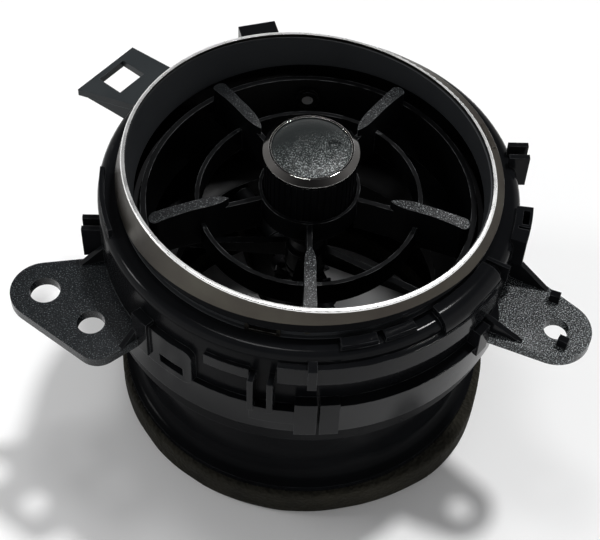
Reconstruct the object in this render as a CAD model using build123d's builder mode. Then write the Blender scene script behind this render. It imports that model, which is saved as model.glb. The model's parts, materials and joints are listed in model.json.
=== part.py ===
"""Round dashboard air vent with a tilting nozzle and a knob that turns two damper flaps.

Millimetres. +Z runs up the duct axis and out of the face, +X to the right and -Y to the
front. The origin is the centre of the foam seal's rear face, on which the vent stands.
"""
import os
from math import cos, hypot, radians, sin, sqrt

from build123d import *

os.makedirs("parts", exist_ok=True)

# Fits shared by the pieces
fit_gap = 0.1
running_gap = 0.05
overlap = 0.5

# Ball nozzle and its gimbal, from which the radii outside them follow
ball_r = 42.8
barrel_wall = 1.4
barrel_rise = 7.4
barrel_drop = 9.0
ball_gap = 0.3
gimbal_wall = 1.3
gimbal_half_height = 4.0
gimbal_clearance = 5.8
pin_r = 1.5
pin_stand_off = 0.1
pin_recess = 0.4
bush_wall = 0.8
bush_seat = 0.05
boss_wall = 2.1
boss_stand_off = 1.1
nozzle_boss_wall = 1.5
nozzle_boss_depth = 2.6
nozzle_pin_inset = 0.2

# Silver bezel ring and black bowl
crest_slope_x = -0.072
crest_slope_y = -0.028
lip_clearance = 0.8
lip_rise = 2.8
bowl_flare = 1.3
crest_width = 1.1
crest_round = 0.45
ring_taper = 1.7
ring_edge = 0.2
ring_lip = 0.9
ring_short_side = 0.94
skirt_height = 3.5
spigot_step = 0.4
ring_pip_angles = (-91, -63)
ring_pip_width = 1.3
ring_pip_drop = 0.8

# Snap loops under the bezel ring
loop_count = 3
loop_angle = -103.5
loop_width = 8.4
loop_drop = 3.2
loop_bar = 0.9
loop_root = 0.5

# Front housing
wall = 2.2
shoulder_rise = 2.8
shoulder_round = 2.4
body_lift = 4.5
band_one_rise = 1.6
band_one_drop = 2.6
band_one_height = 6.3
band_one_start = -98
band_one_end = -34
groove_height = 7.8
band_two_rise = 2.8
band_two_foot_rise = 1.6
band_two_height = 12.8
band_two_start = -82
band_two_end = -31.5
skirt_band_rise = 1.5
skirt_band_height = 10.0
skirt_band_start = -150

# Snap details between the ring and the bands
raised_gap = 0.8
raised_rise = 2.2
raised_flat = 1.6
raised_round = 4.0
raised_drop = 3.1
raised_start = -54
raised_end = -32
pad_gap = 1.0
pad_width = 2.4
pad_rise = 1.6
pad_spans = ((-82, -72), (-70, -61))
stop_angle = -29
stop_thickness = 1.0
stop_reach = 1.9
stop_rise = 1.0
stop_drop = 4.0
fin_gap = 3.4
fin_wall = 1.1
fin_rise = 2.4
fin_start = 178
fin_end = 201

# Ribs, tongue and tabs on the front left
rib_angle = -89.4
rib_width = 2.2
rib_rise = 1.4
rib_top_drop = 1.6
rib_height = 7.4
twin_rib_angles = (-104.2, -99.4)
twin_rib_thickness = 1.4
twin_rib_rise = 3.6
twin_rib_drop = 7.4
twin_rib_height = 12.0
block_start = -104.8
block_end = -93.3
block_rise = 2.4
block_height = 5.5
bar_start = -117.5
bar_end = -105.2
bar_rise = 1.1
bar_drop = 6.4
bar_height = 3.6
tongue_angle = -129.6
tongue_width = 16.6
tongue_rise = 1.7
tongue_drop = 8.6
tongue_height = 13.0
tongue_corner = 2.4
tongue_slot_angle = -127.2
tongue_slot_width = 7.2
tongue_slot_height = 3.2
tongue_slot_drop = 16.2
latch_start = -93.3
latch_end = -82
latch_rise = 2.6
latch_drop = 16.2
latch_height = 13.0
slit_angle = -87.3
slit_width = 0.7
slit_height = 16.0
slit_depth = 2.4

# Clips on both sides and at the back
clip_wall = 1.4
side_clip_length = 3.7
side_clip_top_rise = 3.0
side_clip_height = 10.0
side_clip_places = (7.2, 11.2)
left_clip_length = 4.8
left_clip_top_drop = 7.0
left_clip_height = 10.0
left_clip_places = (-6.6, -10.2)
catch_start = -19.5
catch_end = -7.5
catch_reach = 3.0
catch_top_rise = 0.6
catch_height = 9.0
catch_slit_angle = -14.8
catch_slit_width = 0.7
catch_pocket_start = -13.6
catch_pocket_end = -8.9
catch_pocket_depth = 6.0
bump_angle = 105
bump_width = 10.0
bump_reach = 2.1
bump_top_rise = 3.0
bump_height = 8.0

# Brackets
bracket_drop = 17.0
bracket_thickness = 2.8
left_outer_reach = 16.06
left_outer_angle = -161.17
left_outer_hole_r = 3.8
left_inner_reach = 9.0
left_inner_angle = -149.13
left_inner_hole_r = 3.4
left_end_r = 8.6
left_corner_reach = 10.3
left_corner_angle = -143.8
left_corner_r = 5.4
left_root_angles = (-163.8, -141.5)
left_root_r = 3.0
right_reach = 15.98
right_angle = -27.05
right_hole_r = 3.1
right_end_r = 8.8
right_root_angles = (-13, -36.4)
right_root_r = 1.6
gusset_thickness = 1.4
# Each gusset's angle at the wall, its tip's reach and angle, and its rise
gussets = (
    (-15.5, 11.3, -17.9, 9.0),
    (-36.0, 11.4, -33.8, 6.0),
    (-166.8, 6.7, -166.4, 6.0),
    (-139.8, 7.8, -139.2, 6.0),
)
post_start = -42.5
post_end = -38.5
post_reach = 3.4
post_drop = 11.0
pip_width = 1.8
pip_length = 2.6
pip_height = 2.6
pip_places = ((12.8, -20.0), (19.1, -30.1))
notch_block_start = -140
notch_block_end = -134.5
notch_block_reach = 2.6
notch_block_drop = 7.4

# Tab with a square window
tab_angle = 140.5
tab_reach = 18.1
tab_drop = 7.0
tab_thickness = 2.2
tab_half_width = 10.5
tab_near_lean = 7.4
tab_far_lean = 1.7
tab_gusset_drop = 9.0
window_depth = 7.6
window_width = 9.2
window_inset = 5.4
window_shift = -0.6

# Rear duct, foam seal
neck_step = 4.6
duct_wall = 2.2
collar_wall = 2.0
collar_height = 9.0
neck_drop = 4.0
flare_rise = 13.1
flare_spread = 2.6
flange_height = 2.3
flange_lip = 1.2
flange_slope = 0.4
foam_height = 8.6
foam_overhang = 1.7
foam_underhang = 2.3
ledge_width = 0.8
ledge_slope = 3.0

# Grille
spoke_count = 5
spoke_angle = -90.0
web_reach = 8.2
web_width = 1.3
web_drop = 0.6
ring_spacing = 7.7
middle_ring_wall = 1.1
middle_ring_rise = 0.9
spoke_end_width = 3.3
spoke_inset = 0.4
spoke_round = 2.4
spoke_taper = 6.6
spoke_lift = 1.0
spoke_tip_rise = 6.6
spoke_peak_rise = 6.9
spoke_end_rise = 5.2
hub_wall = 0.8
hub_depth = 5.0
hub_drop = 0.4
hub_floor = 1.6
sleeve_wall = 1.9
sleeve_drop = 3.0
sleeve_rise = 4.0

# Knob
knob_r = 11.4
knob_gap = 0.4
knob_lift = 2.2
knob_height = 14.2
knob_wall = 1.6
knob_web = 4.0
knob_pocket = 3.0
knob_grooves = 44
groove_depth = 0.25
groove_width = 0.7
trim_overhang = 0.4
trim_width = 2.0
trim_side = 1.2
trim_height = 2.6
trim_slope = 0.7
trim_land = 0.5
cap_gap = 0.05
cap_drop = 0.3
cap_dome = 0.9
dimple_r = 1.7
dimple_depth = 0.9
dimple_place = (5.6, 0.6)
dimple_fall = 0.6
shaft_r = 2.5
shaft_cover = 2.4
joint_ball_r = 3.4
cross_pin_r = 0.8
cross_pin_inset = 0.6
snap_clip_wall = 1.7
snap_clip_thickness = 0.8
snap_groove_depth = 0.5
snap_clip_mouth = 2.6

# Drive to the damper
joint_gap = 0.35
ball_floor_gap = 0.4
cup_wall = 1.85
cup_rim = 1.5
cup_base = 1.4
cup_lift = 5.8
cup_neck = 2.0
slot_clearance = 0.8
drive_shaft_r = 3.0
bearing_wall = 2.4
bearing_gap = 0.9
bearing_length = 6.6
collar_step = 1.4
collar_gap = 0.3
collar_thickness = 1.0

# Damper flaps
hinge_angle = 120.0
floor_gap = 1.1
flap_thickness = 1.4
flap_offset = 0.7
seal_reach = 0.6
seal_width = 2.8
seal_thickness = 0.8
seal_clearance = 1.5
knuckle_wall = 1.0
knuckle_gap = 0.4
knuckle_one_reach = 7.0
knuckle_two_reach = 15.0
frame_bore_gap = 0.4
funnel_width = 8.4
frame_drop = 2.5
frame_rise = 6.0
frame_edge_rise = 3.7
frame_rim = 1.4
frame_rim_inset = 0.6
arm_width = 2.0
arm_height = 1.6
arm_reach = 2.4
arm_foot = 1.2

# Bevel gears
tooth_count = 12
gear_step = 2.9
gear_hub = 0.5
gear_seat = 0.4
gear_window = 0.6
face_width = 2.6
tooth_addendum = 0.75
tooth_dedendum = 1.1
tooth_tip_half = 0.28
tooth_root_half = 0.82
tooth_embed = 0.3

# Radii worked out from the sizes above, from the nozzle outwards
gimbal_inner_r = ball_r + ball_gap
gimbal_outer_r = gimbal_inner_r + gimbal_wall
bush_r = pin_r + bush_wall
boss_r = pin_r + boss_wall
nozzle_boss_r = pin_r + nozzle_boss_wall
lip_r = ball_r + lip_clearance
bowl_mouth_r = lip_r + bowl_flare
crest_inner_r = bowl_mouth_r + fit_gap
crest_outer_r = crest_inner_r + crest_width
ring_base_r = crest_outer_r + ring_taper
bowl_wall_r = crest_outer_r - ring_edge
spigot_r = bowl_wall_r + spigot_step
skirt_r = spigot_r + loop_bar
opening_r = spigot_r + fit_gap
body_inner_r = gimbal_outer_r + gimbal_clearance
body_r = body_inner_r + wall
root_r = body_r - wall / 2
collar_outer_r = body_inner_r - fit_gap
duct_r = collar_outer_r - neck_step
duct_inner_r = duct_r - duct_wall
ledge_r = duct_inner_r - ledge_width
flare_r = duct_r + flare_spread
flange_r = flare_r + flange_lip
foam_r = flange_r + foam_overhang
foam_inner_r = duct_inner_r - foam_underhang
frame_r = duct_inner_r - fit_gap
frame_inner_r = frame_r - funnel_width
flap_r = frame_inner_r - frame_bore_gap - seal_reach
knuckle_r = pin_r + knuckle_wall
knuckle_three_end = frame_inner_r - frame_bore_gap
cup_bore_r = joint_ball_r + joint_gap
cup_r = cup_bore_r + cup_wall
cross_pin_half = cup_r - cross_pin_inset
slot_width = 2 * cross_pin_r + slot_clearance
bearing_r = drive_shaft_r + bearing_wall
collar_r = drive_shaft_r + collar_step
sleeve_r = shaft_r + sleeve_wall
snap_clip_r = shaft_r + snap_clip_wall
snap_groove_r = shaft_r - snap_groove_depth
trim_r = knob_r + trim_overhang
trim_face_r = trim_r - trim_width
hub_r = knob_r + knob_gap + hub_wall
spoke_tip_r = hub_r + web_reach
middle_ring_r = spoke_tip_r + ring_spacing
spoke_end_r = ball_r - barrel_wall - spoke_inset

# Heights worked out from the sizes above, from the foot upwards
gear_near = drive_shaft_r + gear_step
cone_distance = gear_near + face_width
gear_back = cone_distance + gear_hub
knuckle_one_end = gear_back + knuckle_one_reach
knuckle_two_end = gear_back + knuckle_two_reach
hinge_height = floor_gap + flap_r + seal_reach
ledge_height = hinge_height - frame_drop
frame_edge_top = hinge_height + frame_edge_rise
frame_top = hinge_height + frame_rise
body_bottom = hinge_height + body_lift
duct_neck_top = body_bottom - neck_drop
duct_collar_top = body_bottom + collar_height
flare_height = foam_height + flange_height
flare_top = flare_height + flare_rise
bearing_bottom = hinge_height + gear_back + bearing_gap
bearing_top = bearing_bottom + bearing_length
cup_bottom = bearing_top + cup_lift
cup_floor = cup_bottom + cup_base
pivot_height = cup_floor + ball_floor_gap + joint_ball_r
cup_top = pivot_height + cup_rim
barrel_front = pivot_height + barrel_rise
barrel_rear = pivot_height - barrel_drop
hub_floor_top = barrel_front - hub_drop
hub_front = hub_floor_top + hub_depth
sleeve_bottom = hub_floor_top - sleeve_drop
sleeve_top = hub_floor_top + sleeve_rise
snap_groove_bottom = sleeve_top + fit_gap
spoke_rear = pivot_height + spoke_lift
knob_bottom = hub_floor_top + knob_lift
knob_shoulder = knob_bottom + knob_height
trim_top = knob_shoulder + trim_height
shaft_top = knob_shoulder - shaft_cover
lip_height = barrel_front + lip_rise
shoulder_height = lip_height + shoulder_rise
shoulder_root = shoulder_height - wall / 2
ring_base_height = shoulder_height + skirt_height
crest_rise = crest_outer_r * hypot(crest_slope_x, crest_slope_y)
crest_height = ring_base_height + ring_short_side + crest_rise
band_one_top = shoulder_height - band_one_drop
band_one_bottom = band_one_top - band_one_height
band_two_top = band_one_bottom - groove_height
band_two_bottom = band_two_top - band_two_height
bracket_top = shoulder_height - bracket_drop
bracket_bottom = bracket_top - bracket_thickness
tab_top = shoulder_height - tab_drop
tall = 2 * crest_height

# Planes worked out from the sizes above
hinge_dir = Vector(cos(radians(hinge_angle)), sin(radians(hinge_angle)), 0)
crest_plane = Plane(
    origin=(0, 0, crest_height), x_dir=(1, 0, crest_slope_x),
    z_dir=(-crest_slope_x, -crest_slope_y, 1),
)
crest_section = Plane(
    origin=crest_plane.origin, x_dir=crest_plane.x_dir, z_dir=-crest_plane.y_dir,
)


def radial_plane(angle):
    """Plane through the duct axis: x runs outward at the angle, y runs up."""
    a = radians(angle)
    return Plane(origin=(0, 0, 0), x_dir=(cos(a), sin(a), 0), z_dir=(sin(a), -cos(a), 0))


def polar(radius, angle, height):
    """Place whose x axis points outward at the angle."""
    a = radians(angle)
    return Location((radius * cos(a), radius * sin(a), height), (0, 0, angle))


def spot(reach, angle):
    """Point that lies outside the housing's wall by the reach."""
    a = radians(angle)
    return ((body_r + reach) * cos(a), (body_r + reach) * sin(a))


def outward(radius, angle, height):
    """Plane that faces outward at the angle."""
    a = radians(angle)
    return Plane(
        origin=(radius * cos(a), radius * sin(a), height),
        x_dir=(-sin(a), cos(a), 0), z_dir=(cos(a), sin(a), 0),
    )


def ring_profile(points, angle=0.0):
    """Closed polygon of radius and height, in the radial plane at the angle."""
    with BuildSketch(radial_plane(angle), mode=Mode.PRIVATE) as profile:
        with BuildLine():
            Polyline(*points, close=True)
        make_face()
    return profile.sketch


def arc_block(inner, outer, low, high, start, end, mode=Mode.ADD):
    """Add or cut a block between two radii and two heights, from one angle to another."""
    add(ring_profile([(inner, low), (outer, low), (outer, high), (inner, high)], start))
    revolve(axis=Axis.Z, revolution_arc=end - start, mode=mode)


def gusset(start, end, base, rise):
    """Upright three cornered wall that falls from the start to the end."""
    along_x, along_y = end[0] - start[0], end[1] - start[1]
    side = Plane(
        origin=(*start, base), x_dir=(along_x, along_y, 0), z_dir=(along_y, -along_x, 0),
    ).offset(-gusset_thickness / 2)
    with BuildPart(mode=Mode.PRIVATE) as web:
        with BuildSketch(side):
            with BuildLine():
                Polyline((0, 0), (hypot(along_x, along_y), 0), (0, rise), close=True)
            make_face()
        extrude(amount=gusset_thickness)
    return web.part


def ball_zone(inner, outer, low, high):
    """Ring between two balls about the nozzle's pivot, cut off at two heights."""
    def reach(radius, height):
        return sqrt(radius * radius - (height - pivot_height) ** 2)
    with BuildPart(mode=Mode.PRIVATE) as zone:
        with BuildSketch(radial_plane(0)):
            with BuildLine():
                RadiusArc((reach(outer, low), low), (reach(outer, high), high), -outer)
                Line((reach(outer, high), high), (reach(inner, high), high))
                RadiusArc((reach(inner, high), high), (reach(inner, low), low), inner)
                Line((reach(inner, low), low), (reach(outer, low), low))
            make_face()
        revolve(axis=Axis.Z)
    return zone.part


# Silver bezel ring, whose crest follows the slope of the dashboard
with BuildPart() as bowl_space:
    with BuildSketch():
        Circle(bowl_wall_r + fit_gap)
    extrude(amount=tall)
    split(bisect_by=crest_plane.offset(-ring_lip), keep=Keep.BOTTOM)
with BuildPart() as bezel_ring:
    with BuildSketch(Plane.XY.offset(ring_base_height)):
        Circle(ring_base_r)
    with BuildSketch(crest_plane.offset(-crest_round)):
        Circle(crest_outer_r)
    loft(ruled=True)
    with BuildSketch(crest_section):
        with BuildLine():
            Polyline(
                (lip_r, -crest_round), (lip_r, 0), (crest_outer_r - crest_round, 0),
            )
            RadiusArc((crest_outer_r - crest_round, 0), (crest_outer_r, -crest_round), crest_round)
            Line((crest_outer_r, -crest_round), (lip_r, -crest_round))
        make_face()
    revolve(axis=Axis(crest_plane.origin, crest_plane.z_dir))
    with BuildSketch():
        Circle(crest_inner_r)
    extrude(amount=tall, mode=Mode.SUBTRACT)
    add(bowl_space.part, mode=Mode.SUBTRACT)
    for copy in range(loop_count):
        angle = loop_angle + copy * 360 / loop_count
        with Locations(polar(opening_r, angle, ring_base_height - loop_drop)):
            Box(
                loop_bar, loop_width, loop_drop + loop_root,
                align=(Align.MIN, Align.CENTER, Align.MIN),
            )
        with Locations(polar(opening_r, angle, ring_base_height - loop_drop + loop_bar)):
            Box(
                3 * loop_bar, loop_width - 2 * loop_bar, loop_drop - loop_bar,
                align=(Align.CENTER, Align.CENTER, Align.MIN), mode=Mode.SUBTRACT,
            )
    for angle in ring_pip_angles:
        with Locations(polar(skirt_r + fit_gap, angle, ring_base_height - ring_pip_drop)):
            Box(
                ring_base_r - skirt_r - 2 * fit_gap, ring_pip_width, ring_pip_drop + loop_root,
                align=(Align.MIN, Align.CENTER, Align.MIN),
            )
bezel_ring.part.label = "bezel_ring"
export_step(bezel_ring.part, "parts/bezel_ring.step")

# Black bowl inside the ring, with the lip that frames the nozzle
with BuildPart() as bezel_bowl:
    add(ring_profile([
        (lip_r, lip_height), (bowl_mouth_r, crest_height), (bowl_mouth_r, tall),
        (bowl_wall_r, tall), (bowl_wall_r, ring_base_height),
        (spigot_r, ring_base_height), (spigot_r, ring_base_height - loop_drop),
        (skirt_r, ring_base_height - loop_drop), (skirt_r, shoulder_height),
        (spigot_r, shoulder_height), (spigot_r, lip_height),
    ]))
    revolve(axis=Axis.Z)
    split(bisect_by=crest_plane.offset(-ring_lip), keep=Keep.BOTTOM)
bezel_bowl.part.label = "bezel_bowl"
export_step(bezel_bowl.part, "parts/bezel_bowl.step")

# Tongue with rounded corners that stands on the housing's wall
with BuildPart() as tongue:
    with BuildSketch(outward(
        0, tongue_angle, shoulder_height - tongue_drop - tongue_height / 2,
    )):
        RectangleRounded(tongue_width, tongue_height, tongue_corner)
    extrude(amount=tall)
    with BuildSketch():
        Circle(body_r + tongue_rise)
        Circle(root_r, mode=Mode.SUBTRACT)
    extrude(amount=tall, mode=Mode.INTERSECT)

# Front housing in one moulding, from its stepped barrel
with BuildPart() as front_housing:
    add(ring_profile([
        (opening_r, shoulder_height), (body_r, shoulder_height), (body_r, body_bottom),
        (body_inner_r, body_bottom), (body_inner_r, shoulder_height - wall),
        (opening_r, shoulder_height - wall),
    ]))
    revolve(axis=Axis.Z)
    fillet(
        front_housing.edges().filter_by(GeomType.CIRCLE)
        .filter_by(lambda e: abs(e.radius - body_r) < fit_gap).group_by(Axis.Z)[-1],
        shoulder_round,
    )
    # Two raised bands round the front right, and a lower one round the front left
    arc_block(
        root_r, body_r + band_one_rise, band_one_bottom, band_one_top,
        band_one_start, band_one_end,
    )
    add(ring_profile([
        (root_r, band_two_bottom), (body_r + band_two_foot_rise, band_two_bottom),
        (body_r + band_two_rise, band_two_top), (root_r, band_two_top),
    ], band_two_start))
    revolve(axis=Axis.Z, revolution_arc=band_two_end - band_two_start)
    arc_block(
        root_r, body_r + skirt_band_rise, band_two_bottom, band_two_bottom + skirt_band_height,
        skirt_band_start, latch_start,
    )
    # Raised shoulder, snap pads, stop wall and fin beside the ring
    with BuildSketch(radial_plane(raised_start)):
        with BuildLine():
            raised_inner = skirt_r + raised_gap
            raised_top = shoulder_height + raised_rise
            Polyline(
                (root_r, shoulder_root), (raised_inner, shoulder_root),
                (raised_inner, raised_top), (raised_inner + raised_flat, raised_top),
            )
            nose = JernArc((raised_inner + raised_flat, raised_top), (1, 0), raised_round, -90)
            Polyline(
                nose @ 1, ((nose @ 1).X, shoulder_height - raised_drop),
                (root_r, shoulder_height - raised_drop), (root_r, shoulder_root),
            )
        make_face()
    revolve(axis=Axis.Z, revolution_arc=raised_end - raised_start)
    for start, end in pad_spans:
        arc_block(
            skirt_r + pad_gap, skirt_r + pad_gap + pad_width, shoulder_root,
            shoulder_height + pad_rise, start, end,
        )
    with Locations(polar(skirt_r + pad_gap, stop_angle, shoulder_height - stop_drop)):
        Box(
            body_r + stop_reach - skirt_r - pad_gap, stop_thickness, stop_drop + stop_rise,
            align=(Align.MIN, Align.CENTER, Align.MIN),
        )
    arc_block(
        skirt_r + fin_gap, skirt_r + fin_gap + fin_wall, shoulder_root,
        shoulder_height + fin_rise, fin_start, fin_end,
    )
    # Single rib, twin ribs and the block that carries them
    with Locations(polar(root_r, rib_angle, shoulder_height - rib_top_drop - rib_height)):
        Box(
            body_r + band_one_rise + rib_rise - root_r, rib_width, rib_height,
            align=(Align.MIN, Align.CENTER, Align.MIN),
        )
    for angle in twin_rib_angles:
        with Locations(polar(root_r, angle, shoulder_height - twin_rib_drop - twin_rib_height)):
            Box(
                body_r + twin_rib_rise - root_r, twin_rib_thickness, twin_rib_height,
                align=(Align.MIN, Align.CENTER, Align.MIN),
            )
    block_top = shoulder_height - twin_rib_drop - twin_rib_height
    arc_block(
        root_r, body_r + block_rise, block_top - block_height, block_top,
        block_start, block_end,
    )
    # Window bar, tongue with its slot, and the latch with its slit
    arc_block(
        root_r, body_r + bar_rise, shoulder_height - bar_drop - bar_height,
        shoulder_height - bar_drop, bar_start, bar_end,
    )
    add(tongue.part)
    with Locations(polar(root_r, tongue_slot_angle, shoulder_height - tongue_slot_drop)):
        Box(
            2 * wall, tongue_slot_width, tongue_slot_height,
            align=(Align.MIN, Align.CENTER, Align.MAX), mode=Mode.SUBTRACT,
        )
    arc_block(
        root_r, body_r + latch_rise, shoulder_height - latch_drop - latch_height,
        shoulder_height - latch_drop, latch_start, latch_end,
    )
    with Locations(polar(body_r + latch_rise, slit_angle, shoulder_height - latch_drop)):
        Box(
            slit_depth, slit_width, slit_height,
            align=(Align.MAX, Align.CENTER, Align.MAX), mode=Mode.SUBTRACT,
        )
    # Clips on both sides: pairs of upright walls on the right and left, a catch on the right
    for across in side_clip_places:
        with Locations((root_r - clip_wall, across, shoulder_height + side_clip_top_rise)):
            Box(
                side_clip_length + clip_wall, clip_wall, side_clip_height,
                align=(Align.MIN, Align.CENTER, Align.MAX),
            )
    for across in left_clip_places:
        with Locations((clip_wall - root_r, across, shoulder_height - left_clip_top_drop)):
            Box(
                left_clip_length + clip_wall, clip_wall, left_clip_height,
                align=(Align.MAX, Align.CENTER, Align.MAX),
            )
    catch_top = shoulder_height + catch_top_rise
    arc_block(
        root_r, body_r + catch_reach, catch_top - catch_height, catch_top,
        catch_start, catch_end,
    )
    arc_block(
        body_r + clip_wall / 2, body_r + catch_reach - clip_wall / 2,
        catch_top - catch_pocket_depth, catch_top + overlap,
        catch_pocket_start, catch_pocket_end, Mode.SUBTRACT,
    )
    with Locations(polar(body_r, catch_slit_angle, catch_top)):
        Box(
            2 * catch_reach, catch_slit_width, catch_height,
            align=(Align.MIN, Align.CENTER, Align.MAX), mode=Mode.SUBTRACT,
        )
    with Locations(polar(root_r - clip_wall, bump_angle, shoulder_height + bump_top_rise)):
        Box(
            bump_reach + wall / 2 + clip_wall, bump_width, bump_height,
            align=(Align.MIN, Align.CENTER, Align.MAX),
        )
    # Bosses that hold the gimbal ring's pins
    for side in (0, 180):
        boss_start = gimbal_outer_r + boss_stand_off
        with BuildSketch(outward(boss_start, side, pivot_height)):
            Circle(boss_r)
        extrude(amount=root_r - boss_start)
        with BuildSketch(outward(0, side, pivot_height)):
            Circle(pin_r)
        extrude(amount=body_r + wall, mode=Mode.SUBTRACT)
    # Left bracket with two holes
    with BuildSketch(Plane.XY.offset(bracket_bottom)):
        with Locations(spot(left_outer_reach, left_outer_angle)):
            Circle(left_end_r)
        with Locations(spot(left_corner_reach, left_corner_angle)):
            Circle(left_corner_r)
        for angle in left_root_angles:
            with Locations(spot(-wall, angle)):
                Circle(left_root_r)
        make_hull()
        Circle(root_r - overlap, mode=Mode.SUBTRACT)
        with Locations(spot(left_outer_reach, left_outer_angle)):
            Circle(left_outer_hole_r, mode=Mode.SUBTRACT)
        with Locations(spot(left_inner_reach, left_inner_angle)):
            Circle(left_inner_hole_r, mode=Mode.SUBTRACT)
    extrude(amount=bracket_thickness)
    # Right bracket with one hole
    with BuildSketch(Plane.XY.offset(bracket_bottom)):
        with Locations(spot(right_reach, right_angle)):
            Circle(right_end_r)
        for angle in right_root_angles:
            with Locations(spot(0, angle)):
                Circle(right_root_r)
        make_hull()
        Circle(root_r - overlap, mode=Mode.SUBTRACT)
        with Locations(spot(right_reach, right_angle)):
            Circle(right_hole_r, mode=Mode.SUBTRACT)
    extrude(amount=bracket_thickness)
    # Walls that stiffen the brackets, the post beside one and the pips by the right hole
    for wall_angle, tip_reach, tip_angle, rise in gussets:
        add(gusset(
            spot(-wall / 2, wall_angle), spot(tip_reach, tip_angle),
            bracket_top - overlap, rise + overlap,
        ))
    arc_block(
        root_r, body_r + post_reach, bracket_bottom, shoulder_height - post_drop,
        post_start, post_end,
    )
    arc_block(
        root_r, body_r + notch_block_reach, bracket_bottom,
        shoulder_height - notch_block_drop, notch_block_start, notch_block_end,
    )
    for reach, angle in pip_places:
        with Locations(polar(body_r + reach, angle, bracket_top - overlap)):
            Box(
                pip_length, pip_width, pip_height + overlap,
                align=(Align.CENTER, Align.CENTER, Align.MIN),
            )
    # Upper left tab with its window, and the wall under its near side
    with BuildSketch(Plane(polar(0, tab_angle, tab_top - tab_thickness))):
        with BuildLine():
            Polyline(
                (root_r - overlap, -tab_half_width - tab_far_lean),
                (body_r + tab_reach, -tab_half_width), (body_r + tab_reach, tab_half_width),
                (root_r - overlap, tab_half_width - tab_near_lean), close=True,
            )
        make_face()
        with Locations((body_r + tab_reach - window_inset, window_shift)):
            Rectangle(window_depth, window_width, mode=Mode.SUBTRACT)
    extrude(amount=tab_thickness)
    tab_middle = tab_top - tab_thickness / 2
    tab_place = Plane(polar(0, tab_angle, tab_middle))
    tab_corner = tab_place.from_local_coords((body_r + tab_reach, tab_half_width, 0))
    tab_root = tab_place.from_local_coords((root_r, tab_half_width - tab_near_lean, 0))
    tab_side = tab_root - tab_corner
    with BuildSketch(Plane(
        origin=tab_corner, x_dir=tab_side, z_dir=tab_side.cross(Vector(0, 0, 1)),
    ).offset(-gusset_thickness)):
        with BuildLine():
            Polyline((0, 0), (tab_side.length, 0), (tab_side.length, -tab_gusset_drop), close=True)
        make_face()
    extrude(amount=gusset_thickness)
front_housing.part.label = "front_housing"
export_step(front_housing.part, "parts/front_housing.step")

# Rear duct: collar inside the housing, neck and flared flange
with BuildPart() as rear_duct:
    with BuildSketch(radial_plane(0)):
        with BuildLine():
            Polyline(
                (collar_outer_r - collar_wall, duct_collar_top), (collar_outer_r, duct_collar_top),
                (collar_outer_r, body_bottom), (duct_r, duct_neck_top), (duct_r, flare_top),
            )
            Spline(
                (duct_r, flare_top), (flare_r, flare_height),
                tangents=((0, -1), (1, -0.35)),
            )
            Polyline(
                (flare_r, flare_height), (flange_r, flare_height - flange_slope),
                (flange_r, foam_height), (duct_inner_r, foam_height),
                (ledge_r, foam_height + ledge_slope), (ledge_r, ledge_height),
                (duct_inner_r, ledge_height), (duct_inner_r, frame_top + overlap),
                (collar_outer_r - collar_wall, duct_collar_top),
            )
        make_face()
    revolve(axis=Axis.Z)
rear_duct.part.label = "rear_duct"
export_step(rear_duct.part, "parts/rear_duct.step")

# Foam seal under the flange
with BuildPart() as foam_seal:
    with BuildSketch():
        Circle(foam_r)
        Circle(foam_inner_r, mode=Mode.SUBTRACT)
    extrude(amount=foam_height)
foam_seal.part.label = "foam_seal"
export_step(foam_seal.part, "parts/foam_seal.step")

# Steel pins that carry the gimbal ring in the housing
for name, side in (("ring_pin_right", 0), ("ring_pin_left", 180)):
    with BuildPart() as ring_pin:
        start = gimbal_inner_r + pin_stand_off
        with BuildSketch(outward(start, side, pivot_height)):
            Circle(pin_r)
        extrude(amount=body_r - pin_recess - start)
    ring_pin.part.label = name
    export_step(ring_pin.part, f"parts/{name}.step")

# Gimbal ring between the housing and the nozzle
with BuildPart() as gimbal_ring:
    add(ball_zone(
        gimbal_inner_r, gimbal_outer_r,
        pivot_height - gimbal_half_height, pivot_height + gimbal_half_height,
    ))
    for side in (0, 90, 180, 270):
        with BuildSketch(outward(0, side, pivot_height)):
            Circle(bush_r)
        extrude(amount=body_r, mode=Mode.SUBTRACT)
gimbal_ring.part.label = "gimbal_ring"
export_step(gimbal_ring.part, "parts/gimbal_ring.step")

# Friction bushes in the gimbal ring's four holes
for name, sides in (("ring_bushes", (0, 180)), ("nozzle_bushes", (90, 270))):
    with BuildPart() as bushes:
        for side in sides:
            start = gimbal_inner_r + bush_seat
            with BuildSketch(outward(start, side, pivot_height)):
                Circle(bush_r)
                Circle(pin_r + running_gap, mode=Mode.SUBTRACT)
            extrude(amount=gimbal_wall - 2 * bush_seat)
    bushes.part.label = name
    export_step(bushes.part, f"parts/{name}.step")

# Ball shaped nozzle barrel
with BuildPart() as nozzle_barrel:
    add(ball_zone(ball_r - barrel_wall, ball_r, barrel_rear, barrel_front))
    for side in (90, 270):
        with BuildSketch(outward(ball_r - nozzle_boss_depth, side, pivot_height)):
            Circle(nozzle_boss_r)
        extrude(amount=nozzle_boss_depth - barrel_wall / 2)
        with BuildSketch(outward(ball_r - 2 * nozzle_boss_depth, side, pivot_height)):
            Circle(pin_r)
        extrude(amount=3 * nozzle_boss_depth, mode=Mode.SUBTRACT)
nozzle_barrel.part.label = "nozzle_barrel"
export_step(nozzle_barrel.part, "parts/nozzle_barrel.step")

# Steel pins from the nozzle into the gimbal ring
for name, side in (("nozzle_pin_back", 90), ("nozzle_pin_front", 270)):
    with BuildPart() as nozzle_pin:
        start = ball_r - nozzle_boss_depth
        with BuildSketch(outward(start, side, pivot_height)):
            Circle(pin_r)
        extrude(amount=gimbal_outer_r - nozzle_pin_inset - start)
    nozzle_pin.part.label = name
    export_step(nozzle_pin.part, f"parts/{name}.step")

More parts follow.
